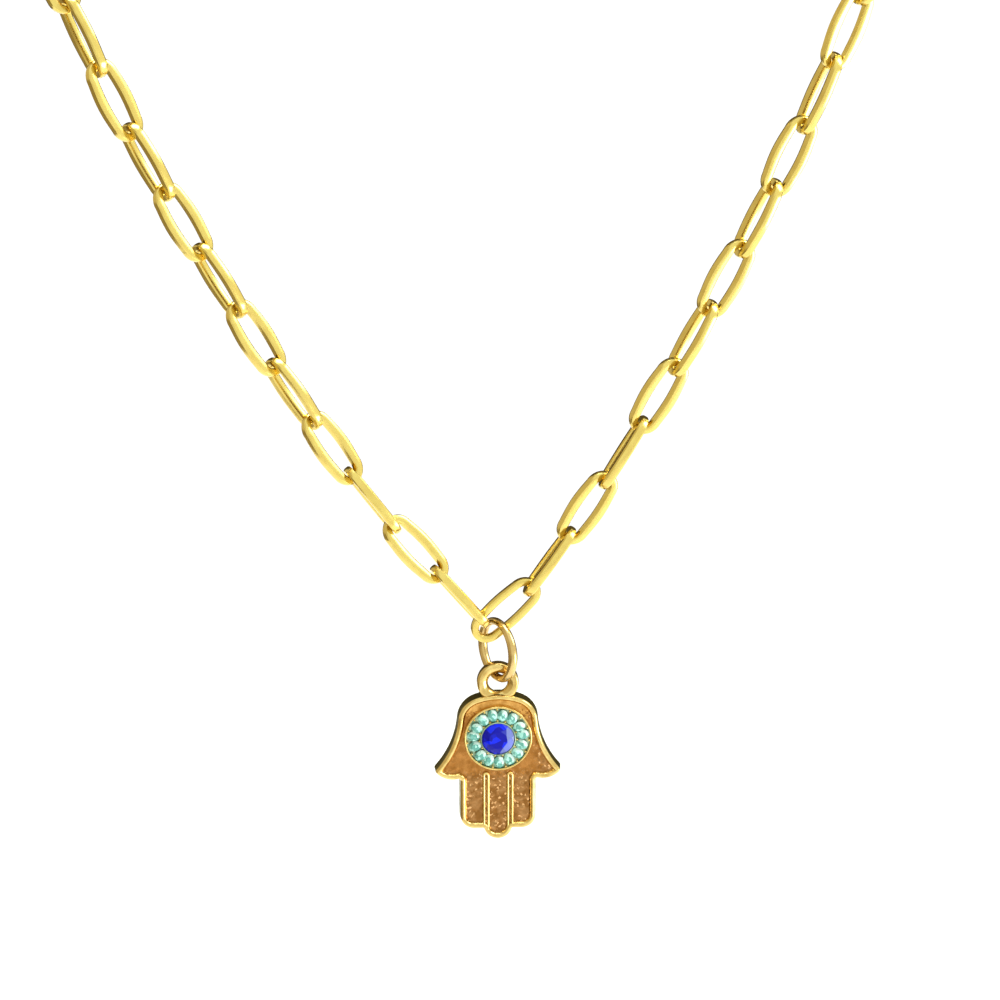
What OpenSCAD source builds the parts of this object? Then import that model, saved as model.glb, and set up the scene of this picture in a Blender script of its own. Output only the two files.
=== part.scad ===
// Hamsa pendant necklace: a paperclip chain that carries a small cast hand on a jump ring.
// Millimetres, +Z up, the front faces -Y. The origin is where the chain lies on the nape.

/* [Chain links] */
// Overall length of one link
link_l = 8.1; // [7.5:0.1:9.5]
// Overall width of one link
link_w = 3.4; // [3.35:0.05:4]
// Thickness of the link's square wire
link_wire = 0.75; // [0.6:0.05:0.8]
// Bevel along the four edges of the wire
link_bevel = 0.2; // [0.1:0.01:0.22]
// Smallest gap between two links that hook into each other
link_slack = 0.2; // [0.15:0.01:0.25]

/* [Lie of the links] */
// Slope of the link that carries the jump ring, in degrees
carrier_slope = 43.4; // [38:0.2:48]
// Turn of that link about its own length
carrier_turn = 6; // [0:1:10]
// Place round the carrier link's lower end where the jump ring hangs, in degrees
hang_angle = -45; // [-50:1:-40]
// Place round the carrier link's lower end where the left arm hooks in, in degrees
hook_angle = 135; // [130:1:145]
// Turn of the right arm's broad links about their own length; the links between lie square to them
right_broad = 17; // [5:1:25]
// Turn of the right arm's first two edge-on links, nearest the pendant
right_first = 88; // [82:1:96]
// Turn of the left arm's broad links
left_broad = -38; // [-45:1:-15]
// Turn of the left arm's first two edge-on links, of which the first hooks into the carrier link
left_first = 75; // [68:1:85]

/* [Clasp] */
// Diameter of the clasp's barrel
clasp_d = 3.2; // [2.4:0.1:4.5]
// Bevel at the ends of the barrel
clasp_bevel = 0.6; // [0.2:0.1:1]
// Outer diameter of the eye at each end of the clasp
eyelet_d = 2.7; // [2.5:0.1:3.2]
// Wire thickness of these eyes
eyelet_wire = 0.6; // [0.4:0.05:0.7]
// Number of link pitches that the clasp takes up
clasp_pitches = 2; // [2:1:3]

/* [Jump ring] */
// Outer diameter of the jump ring
ring_d = 6.35; // [5.8:0.05:7]
// Wire thickness of the jump ring
ring_wire = 0.75; // [0.6:0.05:0.8]
// Turn of the jump ring about the vertical, in degrees
ring_turn = 62; // [58:1:66]
// Gap between the jump ring and the link that it hangs on
ring_gap = 0.13; // [0.1:0.01:0.2]

/* [Bail] */
// Outer diameter of the bail
bail_d = 4; // [3.4:0.02:4.6]
// Diameter of the hole through the bail
bail_bore = 1.9; // [1.7:0.05:2.1]
// Diameter of the hole's mouth on each face
bail_mouth = 2.9; // [2.5:0.05:3.1]
// Thickness of the bail
bail_t = 1.2; // [1:0.05:1.3]
// Length of the straight middle of the hole
bail_land = 0.3; // [0.2:0.05:0.4]
// Bevel round the outside of the bail
bail_bevel = 0.2; // [0.1:0.02:0.25]
// Gap between the bail and the jump ring
bail_gap = 0.13; // [0.1:0.01:0.16]
// Height of the bail's centre over the centre of the eye
bail_rise = 5.55; // [5.2:0.05:6]

/* [Hand] */
// Thickness of the casting from its back to the crest of its rim
hand_t = 1.6; // [1:0.05:1.8]
// Height of the crown of the hand over the centre of the eye
crown_rise = 4.4; // [4.2:0.05:4.7]
// Radius of the crown
crown_r = 6.2; // [5.5:0.1:7]
// Part of the crown's arc on each side, in degrees
crown_sweep = 21; // [18:0.2:24]
// Radius of the shoulders
shoulder_r = 2.5; // [2.2:0.05:2.7]
// Radius of the hollow flare from the shoulders out to the thumbs
flare_r = 9; // [7:0.5:12]
// Half the width across the thumb tips
thumb_reach = 6.1; // [5.6:0.05:6.6]
// Depth of the thumb tips under the centre of the eye
thumb_drop = 3.38; // [3.1:0.02:3.6]
// Depth of the lowest point of the thumbs under the centre of the eye
thumb_low = 4.26; // [4.1:0.02:4.4]
// Radius of the underside of the thumbs
thumb_r = 2.14; // [1.9:0.02:2.4]
// Rounding of the thumb tips
thumb_round = 0.25; // [0.1:0.01:0.3]
// Half the width across the three fingers
fingers_reach = 3.62; // [3.4:0.02:3.8]
// Depth of the two side fingertips under the centre of the eye
side_tip = 9.35; // [8:0.05:10]
// Depth of the middle fingertip under the centre of the eye
middle_tip = 10.45; // [9.9:0.05:11]
// Radius of the middle fingertip
middle_r = 1.36; // [1.1:0.02:1.4]
// Rounding of the outer corners of the side fingertips
finger_round = 1.3; // [0.9:0.05:1.5]
// Rounding of the inner corners between thumb and finger
crook_round = 0.2; // [0.15:0.01:0.3]

/* [Relief] */
// Width of the raised rim, from the edge to the sunk field
rim_w = 0.62; // [0.4:0.02:0.66]
// Depth of the sunk field under the crest of the rim
field_depth = 0.37; // [0.2:0.02:0.5]
// How far the side wall flares out towards the back
wall_flare = 0.1; // [0.04:0.01:0.12]
// Bevel round the back edge
back_bevel = 0.15; // [0.05:0.01:0.3]
// Width of a pair of ridges between two fingers
ridges_w = 0.7; // [0.55:0.02:0.8]
// Width of the groove between two ridges
groove_w = 0.12; // [0.08:0.01:0.2]
// Depth of the top of the ridges under the centre of the eye
ridge_top = 3.5; // [3.4:0.02:3.8]
// Depth of the ridges' crest under the crest of the rim
ridge_low = 0.08; // [0.04:0.01:0.15]

/* [Eye] */
// Outer diameter of the bezel round the eye
bezel_d = 6.6; // [6.5:0.02:6.7]
// Thickness of the bezel's wall
bezel_wall = 0.22; // [0.15:0.01:0.26]
// Height of the bezel over the crest of the rim
bezel_rise = 0.1; // [0:0.02:0.2]
// Diameter of the centre stone
centre_d = 3.16; // [3.1:0.02:3.36]
// Height of the centre stone's table over the crest of the rim
centre_rise = 0.5; // [0.3:0.05:0.7]
// Wall of the collar round the centre stone
collar_wall = 0.1; // [0.06:0.01:0.12]
// Diameter of a small stone in the halo
halo_d = 0.92; // [0.8:0.01:0.96]
// Height of the small stones' tables over the crest of the rim
halo_rise = 0.22; // [0.1:0.02:0.35]
// Turn of the ring of small stones, in degrees
halo_turn = 14; // [0:1:23]
// Gap between a stone and its setting
stone_gap = 0.03; // [0.02:0.005:0.05]
// Diameter of the grains of metal between the small stones
grain_d = 0.22; // [0.14:0.01:0.26]
// Height of the floor under the stones over the sunk field
seat_rise = 0.05; // [0:0.01:0.1]
// Height of the collar over the bezel
collar_rise = 0.06; // [0:0.01:0.1]
// Bevel round the outside of the bezel
bezel_bevel = 0.06; // [0.02:0.01:0.1]
// Thickness of a stone's girdle
girdle_t = 0.04; // [0.02:0.01:0.08]

/* [Hidden] */
HALO = 15;

// Points that the chain runs through, from the carrier link up the right arm, round the nape
// and down the left arm. They are measured from the point where the jump ring hangs.
chain_route = [
    [8.7, 0, 12.9], [15.3, 0, 23.8], [21.4, 0, 35], [26.9, 0, 46.3], [31.9, 0, 58],
    [36.7, 1.8, 70], [42.2, 7.8, 80.2], [48.6, 18, 88.2], [54, 33, 95], [56, 50, 100.5],
    [53, 67, 105], [45, 82, 108.5], [31, 93, 110.5], [14, 98, 111.5],
    [0, 99, 112],
    [-14, 98, 111.5], [-31, 93, 110.5], [-46, 82, 108.5], [-55, 67, 105], [-59, 50, 100.5],
    [-58, 33, 95], [-53.8, 18, 88.6], [-48, 7.6, 80.5], [-42.5, 1.6, 69.8],
    [-37.6, 0, 58.3], [-32.2, 0, 46.8], [-25.8, 0, 35.3], [-19.2, 0, 24.4], [-11.6, 0, 13.3], [-5.5, 0, 6.2]
];
nape = [0, 99, 112];

// Section of the raised rim: share of its width from the edge, share of its height over the field
rim_section = [
    [0, 0.4], [0.15, 0.82], [0.4, 1], [0.65, 0.86], [0.88, 0.36], [1, 0]
];

// Depth that the relief and the eye reach into the plate under the sunk field
root_depth = 0.25;

spline_steps = 14;
$fn = 48;

// Centre line of a link: radius of its round ends, and how far their centres lie from its middle
end_r = (link_w - link_wire) / 2;
end_c = (link_l - link_w) / 2;
pitch_max = link_l - 2 * link_wire - link_slack;

// Carrier link: its lower end arc passes through the hanging point
function on_circle(r, a) = [r * cos(a), 0, r * sin(a)];
carrier_dir = on_circle(1, carrier_slope);
carrier_arc = -on_circle(end_r, hang_angle);
carrier_mid = carrier_arc + end_c * carrier_dir;
route_start = carrier_mid + pitch_max / 2 * carrier_dir;
route_end = carrier_arc + on_circle(end_r - (link_wire + link_slack) / 2, hook_angle);

// Smooth curve through the route, walked in equal steps of one pitch
function smooth(a, b, c, d, t) =
    (2 * b + (c - a) * t + (2 * a - 5 * b + 4 * c - d) * t * t
        + (3 * b - a - 3 * c + d) * t * t * t) / 2;
stops = concat([route_start], chain_route, [route_end]);
padded = concat(
    [2 * stops[0] - stops[1]], stops, [2 * stops[len(stops) - 1] - stops[len(stops) - 2]]
);
curve = [
    for (i = [0:len(stops) - 2]) for (k = [0:spline_steps - 1])
        smooth(padded[i], padded[i + 1], padded[i + 2], padded[i + 3], k / spline_steps),
    route_end
];
lengths = [
    for (i = 0, s = 0; i < len(curve);
        s = s + (i + 1 < len(curve) ? norm(curve[i + 1] - curve[i]) : 0), i = i + 1) s
];
route_l = lengths[len(lengths) - 1];
// Odd, so that the clasp sits at the nape with as many pitches on each side, the carrier link counted
pitches = 1 + 2 * ceil((route_l / pitch_max - 1) / 2);
pitch = route_l / pitches;
right_links = floor((pitches - clasp_pitches) / 2);
left_links = pitches - clasp_pitches - right_links;

function stretch_of(s, low, high) =
    high - low <= 1 ? low
    : let (mid = floor((low + high) / 2))
        lengths[mid] > s ? stretch_of(s, low, mid) : stretch_of(s, mid, high);
function along(s) =
    let (i = stretch_of(s, 0, len(curve) - 1),
        t = (s - lengths[i]) / (lengths[i + 1] - lengths[i]))
    curve[i] + t * (curve[i + 1] - curve[i]);
function joint_at(k) = k >= pitches ? route_end : along(k * pitch);

// Turn of link k of an arm, counted from the pendant: edge-on and broad links take turns
function arm_turn(k, broad, first) = k % 2 == 1 ? broad : k < 4 ? first : broad + 90;
function right_turn(k) = arm_turn(k, right_broad, right_first);
function left_turn(k) = arm_turn(k, left_broad, left_first);

// Jump ring: it leans on a sloping wire, so its top wire lies higher than one wire and a gap
ring_r = (ring_d - ring_wire) / 2;
wire_slope = 90 + hang_angle;
lean = sin(ring_turn) * cos(wire_slope)
    / norm([sin(wire_slope), sin(ring_turn) * cos(wire_slope)]);
ring_rise = (link_wire / 2 + ring_wire / 2 + ring_gap) / lean;
ring_mid = ring_rise - ring_r;
ring_low = ring_mid - ring_r;

// Hand: its bail hangs on the lowest wire of the jump ring
bail_mid = ring_low + ring_wire / 2 + bail_gap - bail_bore / 2;
eye_mid = bail_mid - bail_rise;

// Levels of the casting, measured towards the front from the middle of its thickness
crest = hand_t / 2;
field = crest - field_depth;
seat = field + seat_rise;
root = field - root_depth;
bezel_top = crest + bezel_rise;
collar_top = bezel_top + collar_rise;

// Rings of the eye
collar_in = centre_d / 2 + stone_gap;
collar_out = collar_in + collar_wall;
bezel_in = bezel_d / 2 - bezel_wall;
halo_r = (collar_out + bezel_in) / 2;
function halo_angle(i) = 90 + halo_turn - i * 360 / HALO;
grain_in = collar_out + grain_d / 4;
grain_out = bezel_in - grain_d / 4;

// Outline of the hand, one half: centres of its arcs, across and up from the eye
function meet(a, ra, b, rb) =
    let (d = norm(b - a), u = (b - a) / d, x = (ra * ra - rb * rb + d * d) / (2 * d),
        y = sqrt(ra * ra - x * x))
    a + x * u + y * [-u.y, u.x];
function bearing(from, to) = atan2(to.y - from.y, to.x - from.x);
crown_c = [0, crown_rise - crown_r];
shoulder_c = crown_c + (crown_r - shoulder_r) * [sin(crown_sweep), cos(crown_sweep)];
thumb_tip = [thumb_reach, -thumb_drop];
flare_c = meet(shoulder_c, shoulder_r + flare_r, thumb_tip, flare_r);
thumb_c = let (y = thumb_r - thumb_low, rise = thumb_tip.y - y)
    [thumb_reach - sqrt(thumb_r * thumb_r - rise * rise), y];
crook_c = let (x = fingers_reach + crook_round, r = thumb_r + crook_round, across = x - thumb_c.x)
    [x, thumb_c.y - sqrt(r * r - across * across)];
corner_c = [fingers_reach - finger_round, finger_round - side_tip];
middle_c = [0, middle_r - middle_tip];
notch_c = let (y = -side_tip - crook_round, r = middle_r + crook_round, up = y - middle_c.y)
    [sqrt(r * r - up * up), y];

// Points along an arc. One that carries on from the arc before it leaves out its first point.
function arc(c, r, from, to, n, joined = true) =
    [for (i = [joined ? 1 : 0:n]) let (a = from + (to - from) * i / n) c + r * [cos(a), sin(a)]];

// The half outline drawn in by a distance. Every arc keeps its centre, and only the sharp
// thumb tip moves, to where the two arcs beside it meet.
function half_outline(inset) =
    let (
        tip_r = max(thumb_round - inset, 0.05),
        tip_c = meet(flare_c, flare_r + inset + tip_r, thumb_c, thumb_r - inset - tip_r),
        shoulder_end = bearing(shoulder_c, flare_c),
        flare_end = bearing(flare_c, tip_c) + 360,
        tip_start = bearing(tip_c, flare_c),
        tip_end = bearing(thumb_c, tip_c),
        thumb_end = bearing(thumb_c, crook_c),
        crook_start = bearing(crook_c, thumb_c),
        notch_end = bearing(notch_c, middle_c),
        middle_start = bearing(middle_c, notch_c)
    )
    concat(
        arc(crown_c, crown_r - inset, 90, 90 - crown_sweep, 4, false),
        arc(shoulder_c, shoulder_r - inset, 90 - crown_sweep, shoulder_end, 6),
        arc(flare_c, flare_r + inset, shoulder_end + 180, flare_end, 8),
        arc(tip_c, tip_r, tip_start, tip_end, 3),
        arc(thumb_c, thumb_r - inset, tip_end, thumb_end, 7),
        arc(crook_c, crook_round + inset, crook_start, 180, 3),
        arc(corner_c, finger_round - inset, 0, -90, 6, false),
        arc(notch_c, crook_round + inset, 90, notch_end, 3, false),
        arc(middle_c, middle_r - inset, middle_start, -90, 7)
    );
function outline(inset) =
    let (half = half_outline(inset), n = len(half))
    concat([for (p = half) [-p.x, p.y]], [for (i = [n - 2:-1:1]) half[i]]);

// Closed solid through outlines that all have the same number of points. Each end is a fan
// round a hub that sees the whole outline.
module skin(rings, hub = [0, 0]) {
    n = len(rings[0]);
    last = len(rings) - 1;
    fan = len(rings) * n;
    polyhedron(
        points = concat(
            [for (ring = rings) for (p = ring) p],
            [for (k = [0, last]) [hub.x, hub.y, rings[k][0].z]]
        ),
        faces = concat(
            [for (i = [0:n - 1]) [fan, i, (i + 1) % n]],
            [for (i = [0:n - 1]) [fan + 1, last * n + (i + 1) % n, last * n + i]],
            [for (k = [0:last - 1]) for (i = [0:n - 1]) let (j = (i + 1) % n)
                [k * n + j, k * n + i, (k + 1) * n + i, (k + 1) * n + j]]
        )
    );
}
function raised(points, z) = [for (p = points) [p.x, p.y, z]];

// Square wire with its edges bevelled, drawn across and up
module wire_section() {
    h = link_wire / 2;
    b = h - link_bevel;
    polygon([[h, -b], [h, b], [b, h], [-b, h], [-h, b], [-h, -b], [-b, -h], [b, -h]]);
}

// One link, its length along X and its width along Y
module link() {
    for (turn = [0, 180]) rotate([0, 0, turn]) {
        translate([end_c, 0, 0]) rotate([0, 0, -90])
            rotate_extrude(angle = 180) translate([end_r, 0]) wire_section();
        translate([-end_c, end_r, 0]) rotate([90, 0, 90])
            linear_extrude(2 * end_c) wire_section();
    }
}

// Stands a piece that lies along X between two points, turned about its own length
module between(a, b, turn) {
    v = b - a;
    translate((a + b) / 2)
        rotate([0, acos(v.z / norm(v)), atan2(v.y, v.x)])
            rotate([0, 0, turn + 90]) rotate([0, -90, 0]) children();
}

module from_nape() {
    translate(-nape) children();
}

module chain_right() {
    color("gold") from_nape() {
        between(carrier_mid - carrier_dir, carrier_mid + carrier_dir, carrier_turn) link();
        for (k = [0:right_links - 1])
            between(joint_at(k), joint_at(k + 1), right_turn(k)) link();
    }
}

module chain_left() {
    color("gold") from_nape()
        for (k = [0:left_links - 1])
            between(joint_at(pitches - k - 1), joint_at(pitches - k), left_turn(k)) link();
}

// Plain barrel with an eye at each end, which the last links of both arms pass through
module clasp() {
    a = joint_at(right_links);
    b = joint_at(right_links + clasp_pitches);
    eye_r = (eyelet_d - eyelet_wire) / 2;
    half = norm(b - a) / 2;
    eye_at = half - eye_r + (eyelet_wire + link_slack) / 2;
    barrel = eye_at - eye_r;
    color("gold") from_nape() {
        between(a, b, 0)
            rotate([0, 90, 0]) rotate_extrude() polygon([
                [0, -barrel], [clasp_d / 2 - clasp_bevel, -barrel],
                [clasp_d / 2, clasp_bevel - barrel], [clasp_d / 2, barrel - clasp_bevel],
                [clasp_d / 2 - clasp_bevel, barrel], [0, barrel]
            ]);
        between(a, b, right_turn(right_links - 1) + 90)
            translate([-eye_at, 0, 0])
                rotate_extrude() translate([eye_r, 0]) circle(d = eyelet_wire, $fn = 24);
        between(a, b, left_turn(left_links - 1) + 90)
            translate([eye_at, 0, 0])
                rotate_extrude() translate([eye_r, 0]) circle(d = eyelet_wire, $fn = 24);
    }
}

module jump_ring() {
    color("khaki") from_nape() translate([0, 0, ring_mid])
        rotate([0, 0, -ring_turn]) rotate([90, 0, 0])
            rotate_extrude() translate([ring_r, 0]) circle(d = ring_wire, $fn = 24);
}

// Drawing plane of the hand: across, up and towards the front, from the centre of the eye
module on_hand() {
    from_nape() translate([0, 0, eye_mid]) rotate([90, 0, 0]) children();
}

// Cast plate: back edge, flared side wall, raised rim and the sunk field inside it
module plate() {
    skin(concat(
        [raised(outline(back_bevel - wall_flare), -crest), raised(outline(-wall_flare), back_bevel - crest)],
        [for (row = rim_section) raised(outline(row.x * rim_w), field + row.y * field_depth)]
    ), [0, -thumb_drop / 2]);
}

// Loop over the crown, cut off inside the rim
module bail() {
    r = bail_d / 2;
    t = bail_t / 2;
    cut = crown_rise - rim_w / 2 - bail_rise;
    difference() {
        rotate_extrude() polygon([
            [bail_bore / 2, -bail_land / 2], [bail_mouth / 2, -t], [r - bail_bevel, -t],
            [r, bail_bevel - t], [r, t - bail_bevel], [r - bail_bevel, t],
            [bail_mouth / 2, t], [bail_bore / 2, bail_land / 2]
        ]);
        translate([-bail_d, cut - bail_d, -bail_t]) cube([2 * bail_d, bail_d, 2 * bail_t]);
    }
}

// Pair of ridges between two fingers, with the groove that parts them
module finger_ridges() {
    top = -ridge_top - ridges_w / 2;
    foot = -side_tip + crook_round / 2;
    difference() {
        translate([0, 0, root]) linear_extrude(crest - ridge_low - root) {
            translate([-ridges_w / 2, foot]) square([ridges_w, top - foot]);
            translate([0, top]) circle(d = ridges_w);
        }
        translate([-groove_w / 2, foot - 1, field])
            cube([groove_w, top - foot + 1, field_depth]);
    }
}

// Floor, wall and collar that hold the stones, with grains of metal between the small ones
module eye_setting() {
    rotate_extrude() polygon([
        [0, root], [bezel_d / 2, root], [bezel_d / 2, bezel_top - bezel_bevel],
        [bezel_d / 2 - bezel_bevel, bezel_top], [bezel_in, bezel_top], [bezel_in, seat],
        [collar_out, seat], [collar_out, collar_top], [collar_in, collar_top],
        [collar_in, seat], [0, seat]
    ]);
    for (i = [1:HALO]) rotate([0, 0, halo_angle(i + 0.5)])
        for (r = [grain_in, grain_out])
            translate([r, 0, bezel_top - grain_d / 4]) sphere(d = grain_d, $fn = 16);
}

module hamsa_hand() {
    color("goldenrod") on_hand() union() {
        plate();
        translate([0, bail_rise, 0]) bail();
        for (side = [-1, 1]) translate([side * (middle_r - crook_round), 0, 0]) finger_ridges();
        eye_setting();
    }
}

// Cut stone: pavilion, girdle and a crown whose facets run up to a flat table
module cut_stone(d, table_d, foot, table, sides) {
    girdle = foot + (table - foot) * 0.45;
    crown = table - (table - foot) * 0.2;
    ring = function (r, shift) [
        for (i = [0:sides - 1]) let (a = (i + shift) * 360 / sides) r * [cos(a), sin(a)]
    ];
    skin([
        raised(ring(d * 0.25, 0), foot),
        raised(ring(d / 2, 0), girdle),
        raised(ring(d / 2, 0), girdle + girdle_t),
        raised(ring((d * 0.35 + table_d * 0.3) / 1.2, 0.5), crown),
        raised(ring(table_d / 2, 0.5), table)
    ]);
}

module centre_stone() {
    color("blue") on_hand()
        cut_stone(centre_d, centre_d * 0.6, seat + stone_gap, crest + centre_rise, 12);
}

module halo_stone(i) {
    color("aquamarine") on_hand()
        rotate([0, 0, halo_angle(i)]) translate([halo_r, 0, 0])
            cut_stone(halo_d, halo_d * 0.55, seat + stone_gap, crest + halo_rise, 8);
}

chain_right();
chain_left();
clasp();
jump_ring();
hamsa_hand();
centre_stone();
for (i = [1:HALO])
    halo_stone(i);
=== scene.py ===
# %% [markdown]
# # A hamsa hand on a paperclip chain
#
# The necklace is a loop of long, flat links, with a jump ring and a small cast hand at its
# lowest point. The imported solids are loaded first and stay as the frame: every finer piece
# below sits where its solid sits, and rides on the same moving body.

# %% Load the frame and keep its box
import math
from itertools import pairwise

import bpy
from mathutils import Matrix, Vector, noise


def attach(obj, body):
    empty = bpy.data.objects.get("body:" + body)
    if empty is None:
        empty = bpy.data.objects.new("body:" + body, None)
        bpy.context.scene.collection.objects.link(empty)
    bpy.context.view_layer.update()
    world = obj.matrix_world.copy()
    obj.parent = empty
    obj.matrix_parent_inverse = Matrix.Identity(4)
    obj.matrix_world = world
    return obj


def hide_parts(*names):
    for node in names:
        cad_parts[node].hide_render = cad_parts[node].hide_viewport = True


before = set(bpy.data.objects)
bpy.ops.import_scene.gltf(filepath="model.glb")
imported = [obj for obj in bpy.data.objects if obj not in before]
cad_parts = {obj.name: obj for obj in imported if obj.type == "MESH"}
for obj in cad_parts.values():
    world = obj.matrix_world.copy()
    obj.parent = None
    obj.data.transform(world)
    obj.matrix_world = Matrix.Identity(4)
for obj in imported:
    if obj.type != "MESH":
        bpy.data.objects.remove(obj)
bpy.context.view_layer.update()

MM = 0.001
NAPE = Vector((0, 99, 112))  # the row's origin, measured in mm from where the pendant hangs

# %% [markdown]
# ## The camera
#
# The picture was taken from a little above and to the left with a long lens. The camera is
# aimed at a point just over the pendant, at the angle of the photograph.

# %% Camera
PITCH, YAW = math.radians(17), math.radians(3)
AIM_MM, DISTANCE_MM, LENS = Vector((0.22, 0, 13.52)), 300.2, 114.5


def row(point_mm):
    """A point in mm from the hanging point, turned into the row's metres."""
    return (Vector(point_mm) - NAPE) * MM


view = Vector((math.sin(YAW) * math.cos(PITCH), math.cos(YAW) * math.cos(PITCH), -math.sin(PITCH)))
camera_data = bpy.data.cameras.new("camera")
camera_data.lens, camera_data.sensor_width = LENS, 36
camera_data.clip_start, camera_data.clip_end = 0.01, 20
camera = bpy.data.objects.new("camera", camera_data)
camera.location = row(AIM_MM) - view * DISTANCE_MM * MM
camera.rotation_euler = view.to_track_quat("-Z", "Y").to_euler()
bpy.context.collection.objects.link(camera)
bpy.context.scene.camera = camera
print("camera at", [round(v, 4) for v in camera.location])

# %% [markdown]
# ## Mesh helpers
#
# Nearly every piece here is a loft: rings of points, joined ring to ring by quads. A wire
# closes on itself, while a plate or a stone gets a cap at each end. The caps are fans, so a
# hollow outline such as the hand's still closes cleanly.

# %% Lofts and pieces
def loft(rings, closed=False, hub=None):
    """Points and faces through rings of equally many points.

    An open loft gets a cap at each end, a fan from hub or from the ring's own middle.
    """
    n, count = len(rings[0]), len(rings)
    points = [p for ring in rings for p in ring]
    faces = []
    for k in range(count if closed else count - 1):
        a, b = k * n, (k + 1) % count * n
        faces += [(a + i, a + (i + 1) % n, b + (i + 1) % n, b + i) for i in range(n)]
    if not closed:
        for k, flip in ((0, True), (count - 1, False)):
            middle = hub or [sum(p[i] for p in rings[k]) / n for i in range(2)]
            points.append((middle[0], middle[1], rings[k][0][2]))
            for i in range(n):
                fan = (len(points) - 1, k * n + i, k * n + (i + 1) % n)
                faces.append(fan[::-1] if flip else fan)
    return points, faces


def join(*parts):
    """Several sets of points and faces as one set."""
    points, faces = [], []
    for part_points, part_faces in parts:
        start = len(points)
        points += part_points
        faces += [tuple(i + start for i in face) for face in part_faces]
    return points, faces


def moved(part, matrix):
    """The same faces over points that are carried by a matrix."""
    return [matrix @ Vector(p) for p in part[0]], part[1]


def make_piece(name, part, material, body, stands_for, crease=30):
    """A mesh object, smooth but for edges sharper than crease, that stands for a solid."""
    mesh = bpy.data.meshes.new(name)
    mesh.from_pydata([tuple(p) for p in part[0]], [], part[1])
    mesh.validate()
    mesh.shade_smooth()
    mesh.set_sharp_from_angle(angle=math.radians(crease))
    mesh.materials.append(material)
    piece = bpy.data.objects.new(name, mesh)
    bpy.context.collection.objects.link(piece)
    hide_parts(*stands_for)
    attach(piece, body)
    print(name, len(mesh.polygons), "faces")
    return piece

# %% [markdown]
# ## Shared surface effects
#
# Plated metal is never one flat colour. The effects that several finishes use are node
# groups with named inputs: fine grain, which breaks up the gloss, and cast mottling, the
# coarse patches of a rough casting. A third lays bright specks over the mottling: raised
# grains whose flash is painted in as a lighter tone.

# %% Node helpers
def new_group(name, inputs, outputs):
    """An empty shader group with the given float inputs and typed outputs."""
    group = bpy.data.node_groups.new(name, "ShaderNodeTree")
    for label, value in inputs.items():
        socket = group.interface.new_socket(label, in_out="INPUT", socket_type="NodeSocketFloat")
        socket.default_value = value
    for label, kind in outputs.items():
        group.interface.new_socket(label, in_out="OUTPUT", socket_type=kind)
    return group, group.nodes.new("NodeGroupInput"), group.nodes.new("NodeGroupOutput")


def add(tree, kind, **settings):
    """A new node. Each setting is an input's value or a property."""
    node = tree.nodes.new(kind)
    for key, value in settings.items():
        if key in node.inputs:
            node.inputs[key].default_value = value
        else:
            setattr(node, key, value)
    return node


def use_group(tree, group, **values):
    """A node that runs a shared group with these values on its inputs."""
    node = add(tree, "ShaderNodeGroup", node_tree=group)
    for key, value in values.items():
        node.inputs[key].default_value = value
    return node


def mapped(tree, value, low=0.0, high=1.0, to=(0.0, 1.0), **settings):
    """A node that stretches a value's range, from low to high, onto another."""
    node = add(tree, "ShaderNodeMapRange", **settings)
    node.inputs["From Min"].default_value, node.inputs["From Max"].default_value = low, high
    node.inputs["To Min"].default_value, node.inputs["To Max"].default_value = to
    tree.links.new(value, node.inputs["Value"])
    return node


def blend(tree, share, first, second):
    """Mixes two colours, each a fixed one or another node's output."""
    mix = add(tree, "ShaderNodeMix", data_type="RGBA")
    for label, colour in (("A", first), ("B", second)):
        if isinstance(colour, tuple):
            mix.inputs[label].default_value = colour
        else:
            tree.links.new(colour, mix.inputs[label])
    tree.links.new(share, mix.inputs["Factor"])
    return mix.outputs["Result"]


def new_material(name):
    """A material, its node tree and its main shader."""
    material = bpy.data.materials.new(name)
    material.use_nodes = True
    return material, material.node_tree, material.node_tree.nodes["Principled BSDF"]

# %% Fine grain
def build_fine_grain():
    """Small soft waves in the height, and a mask of them for the tone and the gloss."""
    group, given, out = new_group(
        "fine grain", {"Scale": 900.0, "Strength": 0.3},
        {"Height": "NodeSocketFloat", "Mask": "NodeSocketFloat"},
    )
    place = add(group, "ShaderNodeTexCoord")
    waves = add(group, "ShaderNodeTexNoise", Detail=4.0, Roughness=0.55)
    strength = add(group, "ShaderNodeMath", operation="MULTIPLY")
    mask = mapped(group, waves.outputs["Fac"], 0.35, 0.65)
    link = group.links.new
    link(place.outputs["Object"], waves.inputs["Vector"])
    link(given.outputs["Scale"], waves.inputs["Scale"])
    link(waves.outputs["Fac"], strength.inputs[0])
    link(given.outputs["Strength"], strength.inputs[1])
    link(strength.outputs[0], out.inputs["Height"])
    link(mask.outputs[0], out.inputs["Mask"])
    return group


fine_grain = build_fine_grain()
print("group", fine_grain.name)

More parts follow.
